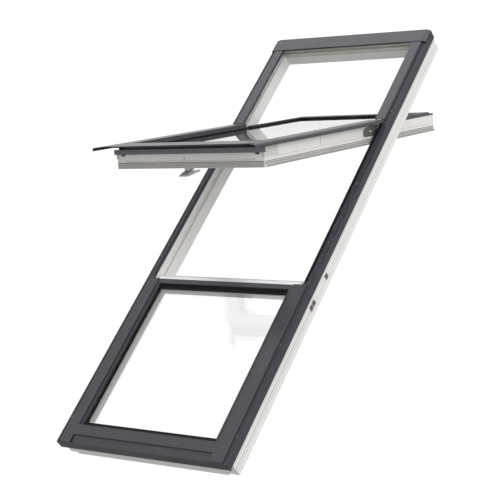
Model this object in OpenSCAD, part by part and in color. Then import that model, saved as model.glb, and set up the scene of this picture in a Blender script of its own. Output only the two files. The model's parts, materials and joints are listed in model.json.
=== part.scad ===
// Tall roof window, seen as installed in a pitched roof.
// The lower pane is fixed, the upper sash turns on a raised pivot line and stands open.
// Pieces are drawn flat (X across, Y up the slope, Z out of the roof) and tilted once.

/* [Frame] */
// Overall width across the outer frame profiles
frame_w = 780; // [660:10:1140]
// Overall length up the slope, over the bottom cover and the hood
frame_h = 2174; // [1980:2:2600]
// Slope of the roof that the window stands in, in degrees
roof_pitch = 47; // [20:1:65]
// Depth of the white frame members
frame_depth = 87.5; // [80:0.5:100]
// Width of a jamb across its room side
jamb_w = 42.5; // [36:0.5:60]
// Height of the head member up the slope
head_w = 45; // [36:1:70]
// Height of the sill member up the slope
sill_w = 38; // [30:1:60]
// Height of the transom member between the two panes
transom_w = 26; // [20:1:60]
// Distance from the lower end of the window to the upper face of the transom
transom_top = 806; // [600:2:1000]
// Setback of the sill behind the edge of the bottom cover
end_gap = 12; // [10:1:30]
// How far the jambs stop short of the sill's lower face
jamb_set = 6; // [0:1:12]
// Depth of the hinge recess along the inner side of the jambs
recess_d = 7; // [6:0.5:12]
// Depth of that recess below the outer side of the jambs
recess_drop = 26.5; // [22:0.5:32]

/* [Glass] */
// Thickness of one pane
pane_t = 4; // [3:0.5:6]
// Space between the two panes
glass_gap = 14; // [10:1:18]
// Width of the spacer and its seal at the pane edges
spacer_w = 18; // [12:1:24]
// Setback of the fixed glass's spacer behind the metal edge
fixed_set = 12; // [6:1:14]
// Thickness of the tape under the glass
tape_t = 2; // [1:0.5:3]
// Depth of the rebate for the glass, below the outer side of the members
glass_drop = 27.5; // [24:0.5:36]
// How far the gaskets show past the metal edges
gasket_show = 5; // [2:1:10]
// Free edge between a pane and the rebate around it
glass_play = 2; // [1:0.5:4]

/* [Metal covers] */
// Thickness of the cover sheets
sheet = 2; // [1.5:0.1:3]
// Thickness of the outer frame profiles
profile_t = 2.5; // [2:0.1:4]
// Height of the skirt of the outer profiles
skirt_h = 30; // [20:1:50]
// Height of the frame covers above the outer profiles
cover_rise = 12; // [11:0.5:20]
// Visible width of metal from the outside of the frame to the glass
sight_w = 87; // [80:1:110]
// Distance from the outside of the frame to the outer edge of the covers
cover_inset = 19; // [15:1:30]
// Width of the bevel along the outer edge of the covers
bevel = 4; // [2:0.5:8]
// Width of the narrow bead beside the fixed glass
bead_w = 15; // [10:1:25]
// Height of the bottom cover up the slope
bottom_cover_h = 78; // [72:1:120]
// Height of the hood up the slope
hood_h = 70; // [50:1:120]

/* [Sash] */
// Angle that the sash stands open, in degrees
open_angle = 39.5; // [0:0.5:80]
// Distance from the lower end of the window to the pivot line
pivot_v = 1636; // [1400:2:1900]
// Depth of the pivot line below the top of the frame covers
pivot_drop = 2; // [0:0.5:4]
// Running gap between the sash and the jambs
side_play = 5; // [4:0.5:8]
// Gap between the lower end of the sash and the transom
bottom_play = 9; // [8:1:16]
// Gap between the upper end of the sash and the head
top_play = 6; // [5:1:12]
// Height of the room side of the sash above the room side of the frame
sash_n = 12; // [4:1:20]
// Height of the sash covers above the frame covers, which they lap over
sash_rise = 3; // [2.8:0.1:6]
// How far the side covers of the sash lap down over the fixed part
ear_lap = 67; // [30:1:120]
// How far the rest of the sash cover laps down over the fixed part
nose_lap = 29; // [10:1:60]

/* [Hinge] */
// Mean radius of the curved hinge track
track_r = 30; // [26:1:34]
// Width of the curved shoe that runs in the track
shoe_w = 6; // [4:0.5:8]
// Clearance on each side of the shoe
shoe_play = 0.3; // [0.2:0.05:0.6]
// Thickness of the ribs that form the track
rib_w = 3; // [2:0.5:4]
// Thickness of the hinge plates
plate_t = 3; // [2:0.5:3.5]

/* [Handle and latch] */
// Place of the handle across the sash
handle_u = -18; // [-200:1:200]
// Length of the handle grip
grip_len = 88; // [60:1:140]
// Width of the handle neck
neck_w = 34; // [20:1:50]
// Distance of the grip from the sash
grip_drop = 22; // [18:1:50]
// Radius of the latch bolt
bolt_r = 5; // [3:0.5:7]
// Clearance around the latch bolt in its guides
bolt_play = 0.05; // [0.03:0.01:0.1]
// Clearance around the latch bolt in the strike
strike_play = 1.5; // [1:0.1:3]

/* [Fixing holes] */
// Radius of the fixing holes in the sides of the frame
hole_r = 10; // [6:0.5:12]
// Wall of the square plastic sleeves around the fixing holes
sleeve_t = 1.5; // [1:0.1:1.9]
// White material left between the pockets of two neighbouring side holes
hole_web = 1; // [0.8:0.1:4]
// Depth of the fixing holes
hole_d = 24; // [10:1:30]
// Height of the fixing holes above the room side
hole_n = 33; // [30:1:40]
// Distance from the transom's upper face down to the middle fixing hole
hole_drop = 55; // [50:1:100]

/* [Hidden] */
$fn = 48;

white = [0.91, 0.89, 0.87];
anthracite = [0.34, 0.35, 0.38];
steel_grey = [0.62, 0.63, 0.65];
black = [0.06, 0.06, 0.07];
pale_plastic = [0.78, 0.80, 0.75];
glass_tint = [0.75, 0.82, 0.82, 0.35];

// Frame lines across
half_w = frame_w / 2;
jamb_out = half_w - profile_t;
jamb_in = jamb_out - jamb_w;
recess_u = jamb_in + recess_d;
glass_line = half_w - sight_w;          // metal edge beside the glass
wall_line = glass_line - 3;             // inner face of the members that carry the glass
pane_u = wall_line + spacer_w;          // edge of the sash panes
fixed_in_u = glass_line + fixed_set;    // inner edge of the fixed spacer and the stiles beside it
fixed_pane_u = fixed_in_u + spacer_w;   // edge of the fixed panes
flat_u = half_w - cover_inset - bevel;  // outer end of the flat part of a cover
lip_u = flat_u + bevel;                 // outside of a cover's outer lip
sash_lip_u = lip_u + sheet + 0.6;       // outside of the sash cover's lip, which laps over it
profile_in = recess_u;                  // inner edge of the outer profiles

// Frame lines up the slope
sill_lo = end_gap;
jamb_lo = sill_lo + jamb_set;
sill_hi = sill_lo + sill_w;
frame_top = frame_h - profile_t - 5;
head_lo = frame_top - head_w;
transom_lo = transom_top - transom_w;
fixed_lo = bottom_cover_h;              // lower visible edge of the fixed glass
fixed_hi = transom_lo - 20;             // upper visible edge of the fixed glass
hood_lo = frame_h - hood_h;
cover_end = transom_top - 24;           // upper end of the lower side covers
origin_v = (sill_lo + sill_hi) / 2;

// Levels
profile_n = frame_depth + profile_t;
recess_n = frame_depth - recess_drop;
shelf_n = frame_depth - glass_drop;
cover_n = profile_n + cover_rise;
sash_cover_n = cover_n + sash_rise;
pivot_n = cover_n - pivot_drop;
glass_n0 = shelf_n + tape_t;
glass_n1 = glass_n0 + pane_t;
glass_n2 = glass_n1 + glass_gap;
glass_n3 = glass_n2 + pane_t;
gasket_n = glass_n3 + 4;
wall_n = gasket_n - 2;                  // top of the walls beside the panes
bead_n = cover_n - 4;
fixed_n0 = 36;                          // room side of the members around the fixed pane
fixed_foot = 2;                         // width of those members at their room side
groove_d = 2;
strip_t = 1.5;
strip_h = 14;
lip_t = 1.2;
lip_h = 20;
liner_u = jamb_in - 1;
liner_t = 1.5;
liner_n = recess_n - 15;

// Sash lines, drawn closed
sash_u = jamb_in - side_play;
sash_lo = transom_top + bottom_play;
sash_hi = head_lo - top_play;
sash_in_u = wall_line;
sash_low_edge = sash_lo + 53;           // metal edge at the lower end of the glass
sash_high_edge = sash_hi - 54;
sash_ear_lo = cover_end - ear_lap;
sash_nose_lo = cover_end - nose_lap;
step_v = bottom_cover_h * 0.44;         // where the bottom cover steps down
cover_split = pivot_v - 0.5;            // upper end of the sash covers
upper_lo = pivot_v + 9;                 // lower end of the upper frame covers
latch_n = shelf_n - 12;
arm_u = sash_u + plate_t + 0.5;
screw_r = 3;
screw_h = 0.8;
clip_pitch = 396;
screw_u = glass_line + 42;
screw_v = bottom_cover_h - 21;
screw_pitch = 224;
shoe_from = -40;                        // the shoe's place on the track with the sash shut
shoe_to = -10;
track_from = -172;
track_to = -8;
track_top = pivot_n - 4;

// ---- building blocks ----

module roof() { rotate([roof_pitch, 0, 0]) translate([0, -origin_v, 0]) children(); }

module opened() {
    translate([0, pivot_v, pivot_n]) rotate([-open_angle, 0, 0])
        translate([0, -pivot_v, -pivot_n]) children();
}

module box(u0, u1, v0, v1, n0, n1) {
    translate([u0, v0, n0]) cube([u1 - u0, v1 - v0, n1 - n0]);
}

// A section drawn across and outward, run up the slope from v0 to v1
module along_v(v0, v1) { translate([0, v1, 0]) rotate([90, 0, 0]) linear_extrude(v1 - v0) children(); }

// A section drawn up the slope and outward, run across from u0 to u1
module along_u(u0, u1) { translate([u0, 0, 0]) rotate([90, 0, 90]) linear_extrude(u1 - u0) children(); }

// A round bar across, from u0 to u1
module bar_u(u0, u1, v, n, r) { translate([u0, v, n]) rotate([0, 90, 0]) cylinder(h = u1 - u0, r = r); }

// A round bar up the slope, from v0 to v1
module bar_v(u, v0, v1, n, r) { translate([u, v0, n]) rotate([-90, 0, 0]) cylinder(h = v1 - v0, r = r); }

// A flat rectangular ring
module ring(u_out, v0, v1, u_in, w0, w1, n0, n1) {
    difference() {
        box(-u_out, u_out, v0, v1, n0, n1);
        box(-u_in, u_in, w0, w1, n0 - 1, n1 + 1);
    }
}

module left() { mirror([1, 0, 0]) children(); }
module both() { children(); mirror([1, 0, 0]) children(); }

// A low screw head with a cross slot, seated at height n
module screw_head(u, v, n, r) {
    translate([u, v, n]) difference() {
        cylinder(h = screw_h, r1 = r, r2 = r * 0.8);
        translate([-r * 0.6, -0.4, screw_h / 2]) cube([r * 1.2, 0.8, 1]);
        translate([-0.4, -r * 0.6, screw_h / 2]) cube([0.8, r * 1.2, 1]);
    }
}

// ---- frame members ----

module jamb() {
    difference() {
        along_v(jamb_lo, frame_top) difference() {
            polygon([[jamb_in, 0], [jamb_out, 0], [jamb_out, frame_depth], [recess_u, frame_depth],
                     [recess_u, recess_n], [jamb_in, recess_n]]);
            translate([jamb_out - groove_d, hole_n - 1]) square([groove_d + 1, groove_d]);
            translate([jamb_in - 1, recess_n - 7]) square([groove_d + 1, 3]);
        }
        for (v = fixing_rows()) sleeve_block(v, jamb_out + 1);
    }
    // the raised strip along the room side, where the lining joins
    along_v(jamb_lo + 28, frame_top) translate([jamb_out - 0.5, 0]) square([strip_t + 0.5, strip_h]);
}

function fixing_rows() = [transom_top - hole_drop - 2 * (hole_r + sleeve_t) - hole_web, transom_top - hole_drop,
                          transom_top - hole_drop + 129];

module sleeve_block(v, u_out) {
    r = hole_r + sleeve_t;
    box(jamb_out - hole_d - sleeve_t, u_out, v - r, v + r, hole_n - r, hole_n + r);
}

module fixing_sleeve(v) {
    difference() {
        sleeve_block(v, jamb_out);
        bar_u(jamb_out - hole_d, jamb_out + 1, v, hole_n, hole_r);
    }
}

module cross_rail(v0, v1, rebate_lo, rebate_hi) {
    along_u(-jamb_in, jamb_in)
        polygon([[v0, 0], [v1, 0], [v1, recess_n], [v1 - rebate_hi, recess_n],
                 [v1 - rebate_hi, frame_depth], [v0 + rebate_lo, frame_depth],
                 [v0 + rebate_lo, recess_n], [v0, recess_n]]);
    both() box(jamb_in, recess_u, v0 + rebate_lo, v1 - rebate_hi, recess_n, frame_depth);
}

module transom_body() {
    difference() {
        cross_rail(transom_lo, transom_top, 0, 0);
        bar_v(handle_u, transom_top - 18, transom_top + 1, latch_n, bolt_r + strike_play);
        box(handle_u - 16, handle_u + 16, transom_top - 2, transom_top + 1, latch_n - 14, latch_n + 14);
    }
}

// ---- fixed glazing ----

module fixed_stile() {
    along_v(sill_hi, transom_lo)
        polygon([[jamb_in - fixed_foot, fixed_n0], [jamb_in, fixed_n0], [jamb_in, wall_n],
                 [fixed_pane_u + glass_play, wall_n], [fixed_pane_u + glass_play, shelf_n],
                 [fixed_in_u, shelf_n]]);
}

module fixed_rail(v_frame, v_edge) {
    // v_frame is the side at the frame member, v_edge the inner face; dir points to the glass
    dir = v_edge > v_frame ? 1 : -1;
    wall = v_edge - dir * (spacer_w + glass_play);
    along_u(-fixed_in_u, fixed_in_u)
        polygon([[v_frame, fixed_n0], [v_frame + dir * fixed_foot, fixed_n0], [v_edge, shelf_n],
                 [wall, shelf_n], [wall, wall_n], [v_frame, wall_n]]);
}

fixed_wall_lo = fixed_lo + 3;
fixed_wall_hi = fixed_hi - 3;

module fixed_ring(n0, n1, w) {
    ring(fixed_pane_u, fixed_wall_lo - spacer_w, fixed_wall_hi + spacer_w,
         fixed_pane_u - w, fixed_wall_lo - spacer_w + w, fixed_wall_hi + spacer_w - w, n0, n1);
}

module fixed_pane(n0) {
    box(-fixed_pane_u, fixed_pane_u, fixed_wall_lo - spacer_w, fixed_wall_hi + spacer_w, n0, n0 + pane_t);
}

module fixed_bead() {
    along_v(fixed_lo, fixed_hi)
        polygon([[glass_line, gasket_n], [glass_line + sheet, gasket_n],
                 [glass_line + sheet, bead_n - sheet], [fixed_pane_u + 3, bead_n - sheet],
                 [fixed_pane_u + 3, wall_n], [fixed_pane_u + 3 + sheet, wall_n],
                 [fixed_pane_u + 3 + sheet, bead_n], [glass_line, bead_n]]);
}

// ---- outer profiles and covers ----

module outer_profile() {
    along_v(profile_t, frame_top) union() {
        polygon([[profile_in, frame_depth], [jamb_out, frame_depth], [jamb_out, profile_n - skirt_h],
                 [half_w, profile_n - skirt_h], [half_w, profile_n], [profile_in, profile_n]]);
        translate([profile_in, profile_n]) square([sheet, 5]);
        translate([half_w - 8, profile_n]) square([1.5, 1.5]);
    }
}

// A skirt across the end of the frame, with a flange over the member behind it
module end_profile(v_skirt, v_flange, low_n) {
    box(-half_w, half_w, v_skirt, v_skirt + profile_t, low_n, profile_n);
    box(-profile_in, profile_in, min(v_skirt + profile_t, v_flange), max(v_skirt, v_flange), frame_depth, profile_n);
}

module cover_section(inner_u, inner_n) {
    polygon([[inner_u, inner_n], [inner_u + sheet, inner_n], [inner_u + sheet, cover_n - sheet],
             [flat_u - 0.8, cover_n - sheet], [lip_u - sheet, cover_n - bevel - 2.2],
             [lip_u - sheet, profile_n], [lip_u, profile_n], [lip_u, cover_n - bevel - 1.5],
             [flat_u, cover_n], [inner_u, cover_n]]);
}

module lower_cover() {
    inner = glass_line + bead_w;
    along_v(0, cover_end) cover_section(inner, bead_n);
    along_v(0, sheet) polygon([[inner, profile_n], [inner, cover_n], [flat_u, cover_n],
        [lip_u, cover_n - bevel - 1.5], [lip_u, profile_n]]);
}

module upper_cover() { along_v(upper_lo, hood_lo + 6) cover_section(glass_line + 23, profile_n); }

module bottom_cover_body() {
    low_n = cover_n - 5;        // foot of the step
    nose_n = profile_n + 2.5;   // top of the front edge
    along_u(-glass_line - bead_w, glass_line + bead_w)
        polygon([[bottom_cover_h, gasket_n], [bottom_cover_h, cover_n], [step_v, cover_n],
                 [step_v - 1.5, low_n], [0, nose_n], [0, profile_n], [sheet, profile_n],
                 [sheet, nose_n - sheet + 0.4], [step_v, low_n - sheet], [step_v + 1.5, cover_n - sheet],
                 [bottom_cover_h - sheet, cover_n - sheet], [bottom_cover_h - sheet, gasket_n]]);
}

module transom_cover_body() {
    along_u(-glass_line - bead_w + 0.5, glass_line + bead_w - 0.5)
        polygon([[fixed_hi, gasket_n], [fixed_hi + sheet, gasket_n], [fixed_hi + sheet, bead_n - sheet],
                 [cover_end - sheet, bead_n - sheet], [cover_end - sheet, wall_n + 4],
                 [cover_end, wall_n + 4], [cover_end, bead_n], [fixed_hi, bead_n]]);
}

// U-shaped trim on top of the transom, open towards the sash
module transom_trim_body() {
    along_u(-profile_in, profile_in)
        polygon([[cover_end + 1.5, frame_depth], [transom_top, frame_depth], [transom_top, frame_depth + 3.5],
                 [transom_top - sheet, frame_depth + 3.5], [transom_top - sheet, frame_depth + sheet],
                 [cover_end + 3.5, frame_depth + sheet], [cover_end + 3.5, frame_depth + 4],
                 [cover_end + 1.5, frame_depth + 4]]);
}

module hood_body() {
    end_u = half_w - 3;
    difference() {
        along_v(hood_lo, frame_h) polygon([[-end_u, profile_n + 1.5], [-end_u, cover_n - 4],
            [-flat_u, cover_n + 2], [flat_u, cover_n + 2], [end_u, cover_n - 4], [end_u, profile_n + 1.5]]);
        along_v(hood_lo + sheet, frame_h - sheet)
            polygon([[-end_u + sheet, profile_n - 1], [-end_u + sheet, cover_n - 4 - sheet * 0.8],
                     [-flat_u, cover_n], [flat_u, cover_n], [end_u - sheet, cover_n - 4 - sheet * 0.8],
                     [end_u - sheet, profile_n - 1]]);
        box(-lip_u - 0.5, lip_u + 0.5, hood_lo - 1, hood_lo + sheet + 1, profile_n - 1, profile_n + 5);
        // notches over the side covers, which run in under the hood
        both() box(glass_line + 22, lip_u + 0.5, hood_lo - 1, hood_lo + sheet + 1, profile_n - 1, cover_n + 0.2);
    }
    box(-end_u, end_u, frame_h - sheet, frame_h, profile_n - skirt_h, profile_n + 3);
}

// A thin profile that wraps the step of the head
module head_liner_body() {
    step = head_lo + recess_d;
    along_u(-liner_u, liner_u)
        polygon([[head_lo - liner_t, liner_n], [head_lo, liner_n], [head_lo, recess_n], [step, recess_n],
                 [step, frame_depth - 1], [step - liner_t, frame_depth - 1],
                 [step - liner_t, recess_n + liner_t], [head_lo - liner_t, recess_n + liner_t]]);
}

module frame_seal_strip(v0, v1) {
    box(profile_in + sheet, profile_in + sheet + 7, v0, v1, profile_n, profile_n + 3.5);
}

// ---- hinge: a curved shoe on the sash runs in a curved track on the frame ----

function on_arc(r, a) = [pivot_v + r * cos(a), pivot_n + r * sin(a)];

// Part of a true round ring, as deep across as from u0 to u1
module arc_block(u0, u1, r0, r1, a0, a1) {
    intersection() {
        translate([u0, pivot_v, pivot_n]) rotate([0, 90, 0]) difference() {
            cylinder(h = u1 - u0, r = r1);
            translate([0, 0, -1]) cylinder(h = u1 - u0 + 2, r = r0);
        }
        along_u(u0, u1) polygon(concat([[pivot_v, pivot_n]],
            [for (i = [0:6]) on_arc(r1 * 1.3, a0 + (a1 - a0) * i / 6)]));
    }
}

groove_in = track_r - shoe_w / 2 - shoe_play;
groove_out = track_r + shoe_w / 2 + shoe_play;

module hinge_plate() {
    box(recess_u - plate_t, recess_u, pivot_v - 46, pivot_v + 226, recess_n + 1, frame_depth - 1);
    difference() {
        union() {
            arc_block(arm_u + 0.7, recess_u - plate_t, groove_in - rib_w, groove_in, track_from, track_to);
            arc_block(arm_u + 0.7, recess_u - plate_t, groove_out, groove_out + rib_w, track_from, track_to);
            box(recess_u - plate_t, recess_u, pivot_v - 38, pivot_v + 38, frame_depth - 2, track_top);
        }
        box(arm_u, recess_u + 1, pivot_v - 60, pivot_v + 60, track_top, pivot_n + 60);
        box(arm_u, recess_u + 1, pivot_v - 60, pivot_v + 60, 0, recess_n + 0.4);
    }
}

module hinge_liner() {
    box(recess_u - 2, recess_u, pivot_v + 228, pivot_v + 322, recess_n + 2, frame_depth - 2);
    box(recess_u - 1.2, recess_u, pivot_v + 324, head_lo - 4, recess_n + 4, frame_depth - 4);
}

module hinge_arm() {
    difference() {
        along_u(sash_u, sash_u + plate_t)
            translate([pivot_v, pivot_n])
                polygon([[-120, -50], [-108, -54], [70, -54], [70, -22], [36, -22], [34, -14], [-34, -14],
                         [-96, -18], [-120, -28]]);
        for (v = arm_screws()) bar_u(sash_u - 1, sash_u + plate_t + 1, v[0], v[1], 2.6);
        along_u(sash_u - 1, sash_u + plate_t + 1)
            translate([pivot_v - 76, pivot_n - 38]) square([22, 6]);
    }
    arc_block(sash_u + plate_t - 0.01, recess_u - plate_t - 0.4, track_r - shoe_w / 2, track_r + shoe_w / 2,
              shoe_from, shoe_to);
    // web that carries the shoe where it stands above the plate
    arc_block(sash_u, sash_u + plate_t, track_r - shoe_w / 2, track_r + shoe_w / 2, shoe_from, shoe_to);
}

function arm_screws() = [for (p = [[-104, -40], [-92, -26], [-40, -46], [56, -42]])
    [pivot_v + p[0], pivot_n + p[1]]];

// ---- sash ----

module sash_stile() {
    difference() {
        along_v(sash_lo, sash_hi) difference() {
            polygon([[sash_in_u, sash_n], [sash_u, sash_n], [sash_u, wall_n], [pane_u + glass_play, wall_n],
                     [pane_u + glass_play, shelf_n], [sash_in_u, shelf_n]]);
            translate([sash_u - groove_d, 44.5]) square([groove_d + 1, 2.5]);
            translate([sash_u - groove_d, 21]) square([groove_d + 1, 1.5]);
        }
        // seat of the corner block and the seam of the side strip
        box(sash_u - 8, sash_u + 1, sash_lo - 1, sash_lo + 86, 50, wall_n + 1);
        box(sash_u - 1, sash_u + 1, sash_lo + 380, sash_lo + 381.5, 50, wall_n - 2);
    }
}

module sash_rail(v_out, v_in) {
    dir = v_in > v_out ? 1 : -1;
    wall = v_in - dir * (spacer_w + glass_play);
    along_u(-sash_in_u, sash_in_u)
        polygon([[v_out, sash_n], [v_in, sash_n], [v_in, shelf_n], [wall, shelf_n],
                 [wall, wall_n], [v_out, wall_n]]);
}

sash_wall_lo = sash_low_edge - 3;
sash_wall_hi = sash_high_edge + 3;

module sash_rail_bottom_body() {
    difference() {
        sash_rail(sash_lo, sash_wall_lo);
        for (g = [[16.5, 3.5], [38.5, 3.5]])
            box(-sash_in_u - 1, sash_in_u + 1, sash_lo - 1, sash_lo + 4, g[0], g[0] + g[1]);
        bar_v(handle_u, sash_lo - 1, sash_lo + 12, latch_n, bolt_r + bolt_play);
        box(handle_u - 12, handle_u + 12, sash_lo + 11, sash_lo + 40, sash_n - 1, latch_n + 8);
    }
}

module sash_ring(n0, n1, w) {
    ring(pane_u, sash_wall_lo - spacer_w, sash_wall_hi + spacer_w,
         pane_u - w, sash_wall_lo - spacer_w + w, sash_wall_hi + spacer_w - w, n0, n1);
}

module sash_pane(n0) {
    box(-pane_u, pane_u, sash_wall_lo - spacer_w, sash_wall_hi + spacer_w, n0, n0 + pane_t);
}

// The tape under the sash pane, with a lip down the inner faces of the members
module sash_tape_body() {
    ring(pane_u, sash_wall_lo - spacer_w, sash_wall_hi + spacer_w,
         wall_line - lip_t, sash_wall_lo + lip_t, sash_wall_hi - lip_t, shelf_n, glass_n0);
    ring(wall_line, sash_wall_lo, sash_wall_hi,
         wall_line - lip_t, sash_wall_lo + lip_t, sash_wall_hi - lip_t, shelf_n - lip_h, glass_n0);
}

module corner_block() {
    difference() {
        box(sash_u - 8, sash_u + 1.5, sash_lo - 1.9, sash_lo + 86, 50, wall_n);
        translate([sash_u + 0.7, sash_lo + 79, 50]) cube([2, 1.2, wall_n]);
    }
}

// Top sheet of a sash side cover from u0 out, with its lip
module sash_cover_sheet(u0) {
    top = sash_cover_n;
    low = profile_n + 2;
    polygon([[u0, top - sheet], [flat_u + 0.6, top - sheet], [sash_lip_u - sheet, top - bevel - 1.5],
             [sash_lip_u - sheet, low], [sash_lip_u, low], [sash_lip_u, top - bevel - 0.8],
             [flat_u + 1.4, top], [u0, top]]);
}

module sash_cover() {
    top = sash_cover_n;
    along_v(sash_ear_lo, sash_nose_lo + 1) sash_cover_sheet(recess_u);
    along_v(sash_nose_lo, cover_split) sash_cover_sheet(glass_line);
    along_v(sash_low_edge + 1, cover_split)
        translate([glass_line, gasket_n]) square([sheet, top - gasket_n - 0.5]);
    // web down to the stile; it stops short of the hinge track and the corner block
    along_v(sash_lo + 2, cover_split) translate([sash_u - 12, wall_n + 0.5]) square([sheet, top - wall_n - 2]);
    along_v(sash_lo + 90, cover_split - 60) translate([sash_u - 12, wall_n]) square([sheet, 2]);
}

module sash_bottom_cover_body() {
    top = sash_cover_n;
    along_u(-glass_line, glass_line)
        polygon([[sash_low_edge, gasket_n], [sash_low_edge, top], [sash_nose_lo, top],
                 [sash_nose_lo, bead_n + 1], [sash_nose_lo + sheet, bead_n + 1],
                 [sash_nose_lo + sheet, top - sheet], [sash_low_edge - sheet, top - sheet],
                 [sash_low_edge - sheet, gasket_n]]);
    box(-glass_line, glass_line, sash_lo + 6, sash_lo + 8, wall_n, top - sheet + 0.01);
    both() {
        box(glass_line, sash_u - 13, sash_lo + 2, sash_low_edge, top - 2 * sheet - 0.5, top - sheet - 0.5);
        box(glass_line - 2, glass_line + 0.01, sash_lo + 2, sash_low_edge, top - 2 * sheet - 0.5,
            top - sheet + 0.01);
    }
}

module sash_top_cover_body() {
    along_u(-glass_line, glass_line)
        polygon([[sash_high_edge, gasket_n], [sash_high_edge + sheet, gasket_n],
                 [sash_high_edge + sheet, gasket_n + 3], [sash_hi, gasket_n + 3],
                 [sash_hi, wall_n - 8], [sash_hi + sheet, wall_n - 8], [sash_hi + sheet, gasket_n + 5],
                 [sash_high_edge, gasket_n + 5]]);
}

module sash_trim() {
    along_v(pivot_v + 37, sash_hi)
        polygon([[glass_line, gasket_n], [glass_line + sheet, gasket_n], [glass_line + sheet, gasket_n + 3],
                 [glass_line + 17, gasket_n + 3], [glass_line + 17, wall_n], [sash_u, wall_n],
                 [sash_u, wall_n - 5], [sash_u + 1, wall_n - 5], [sash_u + 1, gasket_n],
                 [glass_line + 19, gasket_n], [glass_line + 19, gasket_n + 5], [glass_line, gasket_n + 5]]);
}

module drip_flange_body() {
    difference() {
        union() {
            box(-recess_u + 3, recess_u - 3, sash_lo - 6, sash_lo - 2, 67, wall_n);
            box(-sash_in_u, sash_in_u, sash_lo - 2.01, sash_lo, 70, 74);
        }
        both() box(sash_u - 3, recess_u, sash_lo - 7, sash_lo - 5.5, 60, 66);
    }
}

module inner_seal_body() {
    both() box(sash_u, sash_u + 3.5, sash_lo + 12, sash_hi, sash_n + 1, sash_n + 8);
    box(-sash_u - 3.5, sash_u + 3.5, sash_hi, sash_hi + 3.5, sash_n + 1, sash_n + 8);
}

// ---- handle and latch ----

handle_v = sash_lo + 26;

module handle_base_body() {
    translate([handle_u, handle_v, sash_n - 8]) difference() {
        hull() {
            translate([0, -11, 0]) cylinder(h = 8, r1 = 11, r2 = 12.5);
            translate([0, 11, 0]) cylinder(h = 8, r1 = 11, r2 = 12.5);
        }
        translate([0, 0, -1]) cylinder(h = 12, r = 5.1);
    }
}

module handle_body() {
    neck_n = sash_n - 8.4;
    translate([handle_u, handle_v, 0]) {
        // spindle and collar, coaxial with the base
        translate([0, 0, neck_n - 6]) cylinder(h = 6, r = 11);
        translate([0, 0, neck_n - 6]) cylinder(h = 26, r = 5);
        // broad neck that slopes down towards the lower end of the sash
        hull() {
            translate([-neck_w / 2, -9, neck_n - 6]) cube([neck_w, 18, 4]);
            translate([-neck_w / 2 - 8, -34, sash_n - grip_drop - 8]) cube([neck_w, 10, 5]);
        }
        // grip, a flat bar that runs up the slope
        hull() {
            translate([-neck_w / 2 - 8, -34, sash_n - grip_drop - 8]) cube([neck_w, 12, 6]);
            translate([4, grip_len - 40, sash_n - grip_drop + 2]) cylinder(h = 6, r = 8);
        }
    }
}

module latch_bolt_body() {
    bar_v(handle_u, sash_lo + 1, sash_lo + 29, latch_n, bolt_r);
    box(handle_u - 10, handle_u + 10, sash_lo + 28, sash_lo + 34, latch_n - 6, latch_n + 6);
}

module strike_body() {
    difference() {
        box(handle_u - 16, handle_u + 16, transom_top - 2, transom_top, latch_n - 14, latch_n + 14);
        bar_v(handle_u, transom_top - 4, transom_top + 2, latch_n, bolt_r + strike_play);
    }
}

// ---- small parts ----

module frame_screws() {
    both() {
        for (v = [screw_v, sash_nose_lo + 16]) screw_head(screw_u, v, cover_n, screw_r);
        for (v = [upper_lo + 40, hood_lo - 46]) screw_head(screw_u, v, cover_n, screw_r);
    }
    for (u = [-1, 0, 1]) screw_head(u * screw_pitch, screw_v, cover_n, screw_r);
}

module clip() {
    box(half_w - 15.5, half_w - 10.5, 0, 10, profile_n, profile_n + 2.5);
    box(half_w - 14, half_w - 12, 3, 7, profile_n + 2.5, profile_n + 4);
}

module sash_screws_body() {
    both() for (v = [sash_lo + 90, sash_lo + 210, sash_lo + 345, sash_lo + 560, sash_lo + 1100])
        bar_u(sash_u - groove_d, sash_u - 0.2, v, 45.75, 1.2);
    both() for (v = arm_screws()) bar_u(sash_u, sash_u + plate_t - 0.2, v[0], v[1], 2.5);
    both() for (n = [27, 35]) bar_v(sash_u - 8, sash_hi, sash_hi + 3.4, n, 2.4);
}

// ---- nodes ----

module jamb_left() { color(white) roof() left() jamb(); }
module jamb_right() { color(white) roof() jamb(); }
module head_rail() { color(white) roof() cross_rail(head_lo, frame_top, recess_d, 0); }
module sill_rail() { color(white) roof() cross_rail(sill_lo, sill_hi, 0, 0); }
module transom_rail() { color(white) roof() transom_body(); }
module fixed_stile_left() { color(black) roof() left() fixed_stile(); }
module fixed_stile_right() { color(black) roof() fixed_stile(); }
module fixed_rail_top() { color(black) roof() fixed_rail(transom_lo, fixed_wall_hi); }
module fixed_rail_bottom() { color(black) roof() fixed_rail(sill_hi, fixed_wall_lo); }
module fixed_tape() { color(black) roof() fixed_ring(shelf_n, glass_n0, spacer_w); }
module fixed_pane_inner() { color(glass_tint) roof() fixed_pane(glass_n0); }
module fixed_spacer() { color(black) roof() fixed_ring(glass_n1, glass_n2, spacer_w); }
module fixed_pane_outer() { color(glass_tint) roof() fixed_pane(glass_n2); }
module fixed_gasket() {
    color(black) roof() fixed_ring(glass_n3, gasket_n, fixed_set + spacer_w + gasket_show);
}
module fixed_beads() { color(anthracite) roof() both() fixed_bead(); }
module outer_profile_left() { color(anthracite) roof() left() outer_profile(); }
module outer_profile_right() { color(anthracite) roof() outer_profile(); }
module sill_profile() { color(anthracite) roof() end_profile(0, sill_hi - 10, profile_n - skirt_h - 6); }
module head_profile() { color(anthracite) roof() end_profile(frame_top, head_lo + 17, profile_n - skirt_h); }
module lower_cover_left() { color(anthracite) roof() left() lower_cover(); }
module lower_cover_right() { color(anthracite) roof() lower_cover(); }
module bottom_cover() { color(anthracite) roof() bottom_cover_body(); }
module transom_cover() { color(anthracite) roof() transom_cover_body(); }
module transom_trim() { color(steel_grey) roof() transom_trim_body(); }
module upper_cover_left() { color(anthracite) roof() left() upper_cover(); }
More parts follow.
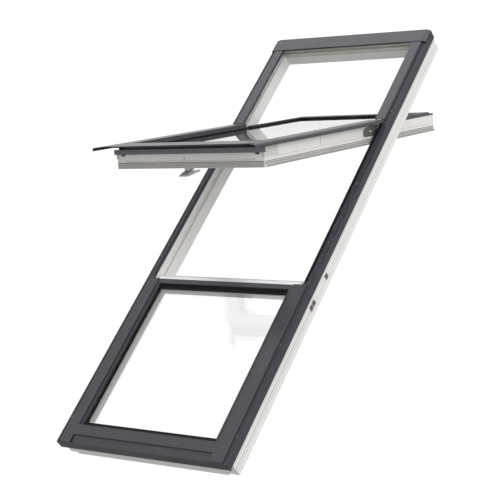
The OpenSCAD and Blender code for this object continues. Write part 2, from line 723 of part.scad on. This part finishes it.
module upper_cover_right() { color(anthracite) roof() upper_cover(); }
module hood() { color(anthracite) roof() hood_body(); }
module frame_seals() { color(black) roof() both() frame_seal_strip(transom_top + 2, pivot_v - 2); }
module head_liner() { color(pale_plastic) roof() head_liner_body(); }
module hinge_plate_left() { color(black) roof() left() hinge_plate(); }
module hinge_plate_right() { color(black) roof() hinge_plate(); }
module hinge_liners() { color(steel_grey) roof() both() hinge_liner(); }
module strike_plate() { color(steel_grey) roof() strike_body(); }
module cover_screws() { color(black) roof() frame_screws(); }
module gutter_clips() {
    color(steel_grey) roof() both()
        for (i = [0:4]) translate([0, 107 + i * clip_pitch, 0]) clip();
}
module fixing_sleeves() {
    color(steel_grey) roof() both() for (v = fixing_rows()) fixing_sleeve(v);
}
module sash_stile_left() { color(white) roof() opened() left() sash_stile(); }
module sash_stile_right() { color(white) roof() opened() sash_stile(); }
module sash_rail_top() { color(white) roof() opened() sash_rail(sash_hi, sash_wall_hi); }
module sash_rail_bottom() { color(white) roof() opened() sash_rail_bottom_body(); }
module corner_block_left() { color(pale_plastic) roof() opened() left() corner_block(); }
module corner_block_right() { color(pale_plastic) roof() opened() corner_block(); }
module sash_tape() { color(black) roof() opened() sash_tape_body(); }
module sash_pane_inner() { color(glass_tint) roof() opened() sash_pane(glass_n0); }
module sash_spacer() { color(black) roof() opened() sash_ring(glass_n1, glass_n2, spacer_w); }
module sash_pane_outer() { color(glass_tint) roof() opened() sash_pane(glass_n2); }
module sash_gasket() {
    color(black) roof() opened() sash_ring(glass_n3, gasket_n, pane_u - glass_line + gasket_show);
}
module sash_cover_left() { color(anthracite) roof() opened() left() sash_cover(); }
module sash_cover_right() { color(anthracite) roof() opened() sash_cover(); }
module sash_bottom_cover() { color(anthracite) roof() opened() sash_bottom_cover_body(); }
module sash_top_cover() { color(anthracite) roof() opened() sash_top_cover_body(); }
module sash_trims() { color(anthracite) roof() opened() both() sash_trim(); }
module drip_flange() { color(anthracite) roof() opened() drip_flange_body(); }
module inner_seal() { color(steel_grey) roof() opened() inner_seal_body(); }
module hinge_arm_left() { color(black) roof() opened() left() hinge_arm(); }
module hinge_arm_right() { color(black) roof() opened() hinge_arm(); }
module sash_screws() { color(steel_grey) roof() opened() sash_screws_body(); }
module handle_base() { color(steel_grey) roof() opened() handle_base_body(); }
module handle() { color(steel_grey) roof() opened() handle_body(); }
module latch_bolt() { color(steel_grey) roof() opened() latch_bolt_body(); }

jamb_left();
jamb_right();
head_rail();
sill_rail();
transom_rail();
fixed_stile_left();
fixed_stile_right();
fixed_rail_top();
fixed_rail_bottom();
fixed_tape();
fixed_pane_inner();
fixed_spacer();
fixed_pane_outer();
fixed_gasket();
fixed_beads();
outer_profile_left();
outer_profile_right();
sill_profile();
head_profile();
lower_cover_left();
lower_cover_right();
bottom_cover();
transom_cover();
transom_trim();
upper_cover_left();
upper_cover_right();
hood();
frame_seals();
head_liner();
hinge_plate_left();
hinge_plate_right();
hinge_liners();
strike_plate();
cover_screws();
gutter_clips();
fixing_sleeves();
sash_stile_left();
sash_stile_right();
sash_rail_top();
sash_rail_bottom();
corner_block_left();
corner_block_right();
sash_tape();
sash_pane_inner();
sash_spacer();
sash_pane_outer();
sash_gasket();
sash_cover_left();
sash_cover_right();
sash_bottom_cover();
sash_top_cover();
sash_trims();
drip_flange();
inner_seal();
hinge_arm_left();
hinge_arm_right();
sash_screws();
handle_base();
handle();
latch_bolt();
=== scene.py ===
"""Looks of the tall roof window: materials, small details, floor, light and camera."""

import json
import math

import bmesh
import bpy
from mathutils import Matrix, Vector


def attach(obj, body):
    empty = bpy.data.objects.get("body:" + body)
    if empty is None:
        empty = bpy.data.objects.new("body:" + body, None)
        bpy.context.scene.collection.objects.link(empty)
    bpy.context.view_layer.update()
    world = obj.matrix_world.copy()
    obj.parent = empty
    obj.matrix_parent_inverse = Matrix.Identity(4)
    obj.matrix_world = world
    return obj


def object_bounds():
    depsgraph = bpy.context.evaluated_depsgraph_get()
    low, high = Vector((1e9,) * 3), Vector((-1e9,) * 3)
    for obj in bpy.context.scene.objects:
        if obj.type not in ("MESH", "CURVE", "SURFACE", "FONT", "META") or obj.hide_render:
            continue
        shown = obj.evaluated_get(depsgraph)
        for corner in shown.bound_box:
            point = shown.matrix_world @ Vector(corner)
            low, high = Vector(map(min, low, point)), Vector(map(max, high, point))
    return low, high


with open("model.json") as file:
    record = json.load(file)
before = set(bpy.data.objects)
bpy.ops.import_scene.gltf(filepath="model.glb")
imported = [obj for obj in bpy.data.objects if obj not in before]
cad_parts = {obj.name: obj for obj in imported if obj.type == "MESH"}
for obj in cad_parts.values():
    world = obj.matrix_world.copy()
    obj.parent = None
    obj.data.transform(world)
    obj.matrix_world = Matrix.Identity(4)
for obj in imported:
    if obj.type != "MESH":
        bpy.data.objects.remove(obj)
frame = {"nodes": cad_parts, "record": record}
cad_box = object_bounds()

PITCH = math.radians(47)   # slope of the window
OPEN = math.radians(39.5)  # opening of the sash at rest
MM = 0.001


# ---- node helpers ----

class Tree:
    """A material's or world's node tree, with short calls for the nodes that repeat."""

    def __init__(self, tree):
        self.tree = tree
        tree.nodes.clear()

    def node(self, kind, inputs=None, **settings):
        made = self.tree.nodes.new(kind)
        for key, value in settings.items():
            setattr(made, key, value)
        for key, value in (inputs or {}).items():
            self.put(made.inputs[key], value)
        return made

    def put(self, socket, value):
        if isinstance(value, bpy.types.NodeSocket):
            self.tree.links.new(value, socket)
        else:
            socket.default_value = value

    def math(self, operation, a, b=0.0):
        return self.node("ShaderNodeMath", {0: a, 1: b}, operation=operation).outputs[0]

    def mix(self, factor, a, b):
        made = self.node("ShaderNodeMix", data_type="RGBA", clamp_factor=True)
        self.put(made.inputs[0], factor)
        self.put(made.inputs[6], a)
        self.put(made.inputs[7], b)
        return made.outputs[2]

    def span(self, value, low, high, to_low, to_high):
        made = self.node("ShaderNodeMapRange", {0: value, 1: low, 2: high, 3: to_low, 4: to_high})
        return made.outputs[0]

    def noise(self, where, scale, detail=3.0, rough=0.5, stretch=None, turn=0.0):
        if stretch:
            where = self.node("ShaderNodeMapping", {0: where, 2: (-turn, 0, 0), 3: stretch},
                              vector_type="POINT").outputs[0]
        return self.node("ShaderNodeTexNoise", {"Vector": where, "Scale": scale, "Detail": detail,
                                                "Roughness": rough}).outputs[0]


ROUGH_VARY = 0.06  # how far the roughness strays to each side
COAT_ROUGH = 0.14


def rgb(r, g, b):
    return (r, g, b, 1.0)


def surface(name, color, rough, metal=0.0, vary=0.05, grain=(500, 0.004), edge_highlight=None,
            round_mm=0.5, streaks=None, dirt=None, specular=0.5, coat=0.0, turn=0.0):
    """A solid surface: colour clouds, streaks down the slope, a painted highlight along the edges, dirt, grain
    and rounded edges.

    grain is (noise scale, height in mm); edge is (tone, amount, width in mm) of the painted highlight along
    the edges; streaks and dirt are (tone, amount); turn tips the streaks to the slope.
    """
    material = bpy.data.materials.new(name)
    material.use_nodes = True
    t = Tree(material.node_tree)
    here = t.node("ShaderNodeTexCoord").outputs["Object"]
    cloud = t.noise(here, 5.0, 4.0, 0.6)
    fine = t.noise(here, 90.0, 4.0, 0.6)
    low = tuple(c * (1 - vary) for c in color[:3]) + (1.0,)
    high = tuple(min(1.0, c * (1 + vary)) for c in color[:3]) + (1.0,)
    base = t.mix(t.span(cloud, 0.3, 0.7, 0.0, 1.0), low, high)
    if streaks:
        tone, amount = streaks
        lines = t.noise(here, 1.0, 5.0, 0.65, stretch=(60, 3, 60), turn=turn)
        base = t.mix(t.span(lines, 0.52, 0.78, 0.0, amount), base, tone)
    if dirt:
        tone, amount = dirt
        base = t.mix(t.span(fine, 0.55, 0.85, 0.0, amount), base, tone)
    bevel = t.node("ShaderNodeBevel", {"Radius": round_mm * MM}, samples=4)
    # painted highlight: along the edges found by the wide bevel the colour turns towards a lighter tone, broken
    # up by fine noise
    if edge_highlight:
        tone, amount, width = edge_highlight
        wide = t.node("ShaderNodeBevel", {"Radius": width * MM}, samples=4)
        flat = t.node("ShaderNodeNewGeometry").outputs["True Normal"]
        bend = t.node("ShaderNodeVectorMath", {0: wide.outputs[0], 1: flat},
                      operation="DOT_PRODUCT").outputs["Value"]
        edge_highlight_mask = t.math("MULTIPLY", t.span(bend, 0.995, 0.9, 0.0, 1.0),
                      t.span(fine, 0.35, 0.65, 0.3, 1.0))
        base = t.mix(t.math("MULTIPLY", edge_highlight_mask, amount), base, tone)
    grain_scale, grain_height = grain
    bumps = t.noise(here, grain_scale, 2.0, 0.5)
    bump = t.node("ShaderNodeBump", {"Strength": 0.6, "Distance": grain_height * MM, "Height": bumps,
                                     "Normal": bevel.outputs[0]})
    shader = t.node("ShaderNodeBsdfPrincipled", {
        "Base Color": base, "Metallic": metal, "Normal": bump.outputs[0],
        "Roughness": t.span(fine, 0.25, 0.75, rough - ROUGH_VARY, rough + ROUGH_VARY),
        "Specular IOR Level": specular, "Coat Weight": coat, "Coat Roughness": COAT_ROUGH})
    t.node("ShaderNodeOutputMaterial", {"Surface": shader.outputs[0]})
    return material


def glass_surface(name, tint):
    """Clear float glass with a faint cloudy tint; light passes through it."""
    material = bpy.data.materials.new(name)
    material.use_nodes = True
    t = Tree(material.node_tree)
    here = t.node("ShaderNodeTexCoord").outputs["Object"]
    film = t.noise(here, 7.0, 5.0, 0.6)
    cloudy = rgb(*(0.99 * x for x in tint[:3]))
    shader = t.node("ShaderNodeBsdfPrincipled", {
        "Base Color": t.mix(t.span(film, 0.4, 0.8, 0.0, 1.0), tint, cloudy),
        "Roughness": 0.0, "Transmission Weight": 1.0, "IOR": 1.5})
    t.node("ShaderNodeOutputMaterial", {"Surface": shader.outputs[0]})
    return material


WHITE = rgb(0.80, 0.785, 0.765)
looks = {
    "white_frame": surface("white_frame_plastic", WHITE, 0.42, vary=0.02, grain=(450, 0.004), round_mm=0.8,
                           dirt=(rgb(0.62, 0.60, 0.56), 0.25)),
    "white_sash": surface("white_sash_plastic", WHITE, 0.40, vary=0.02, grain=(450, 0.004), round_mm=0.8,
                          dirt=(rgb(0.62, 0.60, 0.56), 0.20)),
    # grey_metal and black_metal carry a painted highlight along their edges
    "grey_metal": surface("grey_powder_coat", rgb(0.036, 0.0375, 0.046), 0.50, vary=0.06, round_mm=0.7,
                          streaks=(rgb(0.058, 0.060, 0.068), 0.35), edge_highlight=(rgb(0.13, 0.135, 0.155), 0.5, 0.8),
                          specular=0.3, coat=0.22, turn=PITCH),
    "bare_metal": surface("bare_aluminium", rgb(0.62, 0.63, 0.64), 0.34, metal=0.9, vary=0.04),
    "screws": surface("dark_screws", rgb(0.10, 0.10, 0.11), 0.40, metal=0.6),
    "black_metal": surface("black_steel", rgb(0.022, 0.022, 0.025), 0.45,
                           edge_highlight=(rgb(0.12, 0.12, 0.12), 0.5, 0.6)),
    "rubber": surface("seal_rubber", rgb(0.007, 0.007, 0.008), 0.70, grain=(400, 0.004), specular=0.18),
    "grey_seal": surface("grey_seal_lip", rgb(0.33, 0.325, 0.31), 0.6, grain=(500, 0.008), specular=0.35),
    "spacer": surface("black_spacer", rgb(0.012, 0.012, 0.013), 0.60, specular=0.25),
    "glass": glass_surface("window_glass", rgb(0.985, 0.99, 0.988)),
    "grey_plastic": surface("grey_sleeve_plastic", rgb(0.30, 0.285, 0.275), 0.6, grain=(500, 0.006)),
    "black_plastic": surface("black_carrier_plastic", rgb(0.010, 0.010, 0.011), 0.6, grain=(400, 0.004),
                             specular=0.2),
    "pale_block": surface("pale_block_plastic", rgb(0.60, 0.63, 0.55), 0.45, vary=0.03, grain=(500, 0.006)),
    "handle_metal": surface("satin_handle_metal", rgb(0.50, 0.50, 0.51), 0.32, metal=0.85, vary=0.03),
}

# nodes that differ a little from the rest of their slot
own_looks = {
    "hinge_arm_left": surface("hinge_steel", rgb(0.17, 0.17, 0.15), 0.42, metal=0.4),
    "gutter_clips": surface("dull_clips", rgb(0.16, 0.16, 0.17), 0.5, metal=0.5),
    "hinge_plate_left": surface("zinc_plate", rgb(0.52, 0.52, 0.50), 0.42, metal=0.3, vary=0.04),
    "drip_flange": surface("blue_grey_flange", rgb(0.17, 0.176, 0.205), 0.38, coat=0.2),
    "outer_profile_left": surface("profile_coat", rgb(0.050, 0.052, 0.062), 0.55, vary=0.06, round_mm=0.1,
                                  streaks=(rgb(0.062, 0.064, 0.072), 0.35), specular=0.2,
                                  grain=(500, 0.0005), turn=PITCH),
    "fixed_beads": surface("bead_coat", rgb(0.030, 0.031, 0.036), 0.5, specular=0.3),
}
own_looks["hinge_arm_right"] = own_looks["hinge_arm_left"]
own_looks["outer_profile_right"] = own_looks["outer_profile_left"]
own_looks["hinge_plate_right"] = own_looks["hinge_plate_left"]

for part in frame["record"]["subparts"]:
    thing = frame["nodes"][part["node"]]
    thing.data.materials.clear()
    thing.data.materials.append(own_looks.get(part["node"], looks[part["material_slot"]]))

# ---- small details, drawn flat like the CAD: u across, v up the slope, n outward, in millimetres ----

ORIGIN_V = 31
PIVOT_V, PIVOT_N = 1636, 100
SASH_LO, SASH_HI, SASH_U = 815, 2115.5, 340
JAMB_IN, JAMB_OUT = 345, 387.5


def placed(u, v, n, body):
    """World position in metres of a point drawn flat; sash points are turned open first."""
    if body == "sash":
        a, b = v - PIVOT_V, n - PIVOT_N
        v = PIVOT_V + a * math.cos(OPEN) + b * math.sin(OPEN)
        n = PIVOT_N - a * math.sin(OPEN) + b * math.cos(OPEN)
    v -= ORIGIN_V
    return Vector((u, v * math.cos(PITCH) - n * math.sin(PITCH),
                   v * math.sin(PITCH) + n * math.cos(PITCH))) * MM


def finish_piece(name, bm, body, look, smooth=False):
    bmesh.ops.remove_doubles(bm, verts=bm.verts, dist=1e-6)
    bmesh.ops.recalc_face_normals(bm, faces=bm.faces)
    data = bpy.data.meshes.new(name)
    bm.to_mesh(data)
    bm.free()
    for face in data.polygons:
        face.use_smooth = smooth
    piece = bpy.data.objects.new(name, data)
    bpy.context.scene.collection.objects.link(piece)
    data.materials.append(look)
    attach(piece, body)


def strip(name, outline, start, end, body, slot, look, along="v", bevel=0.25):
    """A moulded strip: its section run up the slope (section points are u, n) or across (v, n)."""
    bm = bmesh.new()
    rings = []
    for at in (start, end):
        points = [(p[0], at, p[1]) if along == "v" else (at, p[0], p[1]) for p in outline]
        rings.append([bm.verts.new(placed(*point, body)) for point in points])
    count = len(outline)
    for i in range(count):
        j = (i + 1) % count
        bm.faces.new((rings[0][i], rings[0][j], rings[1][j], rings[1][i]))
    bm.faces.new(rings[0])
    bm.faces.new(rings[1][::-1])
    bmesh.ops.recalc_face_normals(bm, faces=bm.faces)
    if bevel:
        bmesh.ops.bevel(bm, geom=list(bm.edges), offset=bevel * MM, segments=2, affect="EDGES")
    finish_piece(name, bm, body, look)


def spring(name, u, n, start, end, radius, wire, turns, body, slot, look):
    """A coil spring that lies up the slope."""
    bm = bmesh.new()
    steps, sides = turns * 14, 6
    rings = []
    for i in range(steps + 1):
        angle = 2 * math.pi * turns * i / steps
        middle = Vector((u + radius * math.cos(angle), start + (end - start) * i / steps,
                         n + radius * math.sin(angle)))
        outward = Vector((math.cos(angle), 0, math.sin(angle)))
        ring = []
        for k in range(sides):
            turn = 2 * math.pi * k / sides
            ring.append(bm.verts.new(placed(*(middle + wire * (math.cos(turn) * outward
                                                               + math.sin(turn) * Vector((0, 1, 0)))), body)))
        rings.append(ring)
    for a, b in zip(rings, rings[1:]):
        for k in range(sides):
            bm.faces.new((a[k], a[(k + 1) % sides], b[(k + 1) % sides], b[k]))
    bm.faces.new(rings[0])
    bm.faces.new(rings[-1][::-1])
    finish_piece(name, bm, body, look, smooth=True)


line_dark = surface("seam_line", rgb(0.16, 0.158, 0.15), 0.6)
line_soft = surface("soft_seam", rgb(0.42, 0.40, 0.39), 0.6)
moulding = surface("grey_beige_moulding", rgb(0.40, 0.392, 0.365), 0.5)

FRONT_U = SASH_U - 3                             # half the length of the strips on the sash's front
SIDE_V = (SASH_LO + 2, SASH_HI - 4)              # run of the strips on the sash's sides
STILE_JOINT_V = (SASH_LO + 379.5, SASH_LO + 382) # joint in the sash's stiles
HEAD_V = 2121.5                                  # the head's lower face, where its seam lies
INNER_LINE_V = (808, 2119)
JAMB_LINE_LO, JAMB_LINE_HI, JAMB_LINE_MID = 20, 2164, 712
TRIM_V = (785, 805)                              # the transom trim's width up the slope
SPRING_V = (1735, 1858)
SPRING_U, SPRING_N = 346.2, 70

strip("sash_front_moulding", [(815, 13.5), (811.8, 14.2), (811.2, 26), (812.6, 29.5), (815, 30.5)],
      -FRONT_U, FRONT_U, "sash", "white_sash", moulding, along="u")
strip("sash_front_seal", [(815, 32.4), (813.4, 32.8), (813.4, 35), (815, 35.4)],
      -FRONT_U, FRONT_U, "sash", "grey_seal", line_dark, along="u")
strip("head_line", [(2120, 44.6), (HEAD_V, 44.6), (HEAD_V, 46), (2119.6, 46)],
      -JAMB_IN + 1, JAMB_IN - 1, "frame", "grey_seal", line_dark, along="u", bevel=0.1)


def out_from(wall, sign, *points):
    """A section on a side wall: each point is its distance outward from the wall, and its n."""
    return [(sign * (wall + out), n) for out, n in points]


for side, sign in (("left", -1), ("right", 1)):
    strip(f"sash_stile_seam_{side}", out_from(SASH_U, sign, (0, 51), (0.4, 51), (0.4, 85), (0, 85)),
          *STILE_JOINT_V, "sash", "grey_seal", line_soft, bevel=0.1)
    strip(f"sash_side_moulding_{side}", out_from(SASH_U, sign, (0, 23.5), (2.2, 24.2), (2.6, 29), (0, 30.5)),
          *SIDE_V, "sash", "white_sash", moulding)
    strip(f"sash_side_seal_{side}", out_from(SASH_U, sign, (0, 32.4), (1.2, 32.8), (1.2, 34.6), (0, 35)),
          *SIDE_V, "sash", "grey_seal", line_dark)
    strip(f"jamb_inner_line_{side}", out_from(JAMB_IN, sign, (0, 56), (-0.6, 56.3), (-0.6, 58.2), (0, 58.5)),
          *INNER_LINE_V, "frame", "grey_seal", line_dark, bevel=0.1)
    for tag, level, high, tone in (("upper", 50, JAMB_LINE_HI, line_soft),
                                   ("lower", 20, JAMB_LINE_HI, line_soft),
                                   ("middle", 33, JAMB_LINE_MID, line_dark)):
        section = out_from(JAMB_OUT, sign, (0, level), (0.4, level + 0.2), (0.4, level + 1.4), (0, level + 1.6))
        strip(f"jamb_side_line_{tag}_{side}", section, JAMB_LINE_LO, high, "frame", "grey_seal", tone,
              bevel=0.08)
    strip(f"transom_end_{side}",
          out_from(0, sign, (334, 87.6), (344, 87.6), (344, 92.6), (342, 93.6), (336, 93.6), (334, 92.6)),
          *TRIM_V, "frame", "pale_block", looks["pale_block"])
    spring(f"hinge_spring_{side}", sign * SPRING_U, SPRING_N, *SPRING_V, radius=2.0, wire=0.55, turns=26,
           body="frame", slot="black_metal", look=looks["black_metal"])

# ---- stage ----

FLOOR_DROP = 0.45  # metres below the window's lowest point
FLOOR_HALF = 30.0
floor_z = cad_box[0].z - FLOOR_DROP
mesh = bpy.data.meshes.new("floor")
mesh.from_pydata([(x * FLOOR_HALF, y * FLOOR_HALF, floor_z) for x, y in ((-1, -1), (1, -1), (1, 1), (-1, 1))],
                 [], [(0, 1, 2, 3)])
floor = bpy.data.objects.new("floor", mesh)
bpy.context.scene.collection.objects.link(floor)


def seen_directly(t):
    """1 for what the camera sees, straight or through clear glass, and 0 for what lights the object."""
    path = t.node("ShaderNodeLightPath").outputs
    return t.math("MAXIMUM", path["Is Camera Ray"], path["Is Transmission Ray"])


def studio_floor():
    """Matt pale floor, so evenly lit that it reads as white; the object gets a softer light from it."""
    material = bpy.data.materials.new("floor_white")
    material.use_nodes = True
    t = Tree(material.node_tree)
    here = t.node("ShaderNodeTexCoord").outputs["Object"]
    tone = t.mix(t.noise(here, 0.8), rgb(0.40, 0.395, 0.39), rgb(0.42, 0.415, 0.41))
    matt = t.node("ShaderNodeBsdfDiffuse", {"Color": tone})
    white = t.node("ShaderNodeEmission", {"Color": rgb(1, 1, 1), "Strength": 1.05})
    both = t.node("ShaderNodeMixShader", {0: seen_directly(t), 1: matt.outputs[0], 2: white.outputs[0]})
    t.node("ShaderNodeOutputMaterial", {"Surface": both.outputs[0]})
    return material


floor.data.materials.append(studio_floor())

world = bpy.data.worlds.new("studio")
bpy.context.scene.world = world
world.use_nodes = True
sky = Tree(world.node_tree)
seen = sky.math("MAXIMUM", seen_directly(sky), sky.node("ShaderNodeLightPath").outputs["Is Glossy Ray"])
up = sky.node("ShaderNodeTexCoord").outputs["Generated"]
height = sky.node("ShaderNodeSeparateXYZ", {0: up}).outputs["Z"]
level = sky.span(height, -0.3, 0.8, 0.55, 1.05)
strength = sky.mix(seen, level, rgb(1.08, 1.08, 1.08))
sky.node("ShaderNodeOutputWorld",
         {"Surface": sky.node("ShaderNodeBackground", {"Color": strength, "Strength": 1.0}).outputs[0]})


def lamp(name, place, target, size, power):
    data = bpy.data.lights.new(name, "AREA")
    data.shape = "RECTANGLE"
    data.size, data.size_y = size
    data.energy = power
    made = bpy.data.objects.new(name, data)
    bpy.context.scene.collection.objects.link(made)
    made.location = place
    made.rotation_euler = (Vector(target) - Vector(place)).to_track_quat("-Z", "Y").to_euler()


CENTRE = (0, 0.55, 0.75)
lamp("key_right", (4.5, -1.5, 2.6), CENTRE, (2.5, 2.5), 90)
lamp("top_soft", (-0.5, 0.5, 4.5), CENTRE, (4.0, 4.0), 70)

# ---- camera ----

camera_data = bpy.data.cameras.new("camera")
camera_data.sensor_width = 36.0
camera_data.lens = 100.242
camera_data.clip_start, camera_data.clip_end = 0.1, 200
camera = bpy.data.objects.new("camera", camera_data)
bpy.context.scene.collection.objects.link(camera)
camera.location = (3.1283, -3.8763, 0.98725)
camera.rotation_euler = [math.radians(a) for a in (87.3101, 0.1422, 34.8748)]
bpy.context.scene.camera = camera

view = bpy.context.scene.view_settings
view.view_transform = "Standard"
view.look = "None"

bpy.context.view_layer.update()
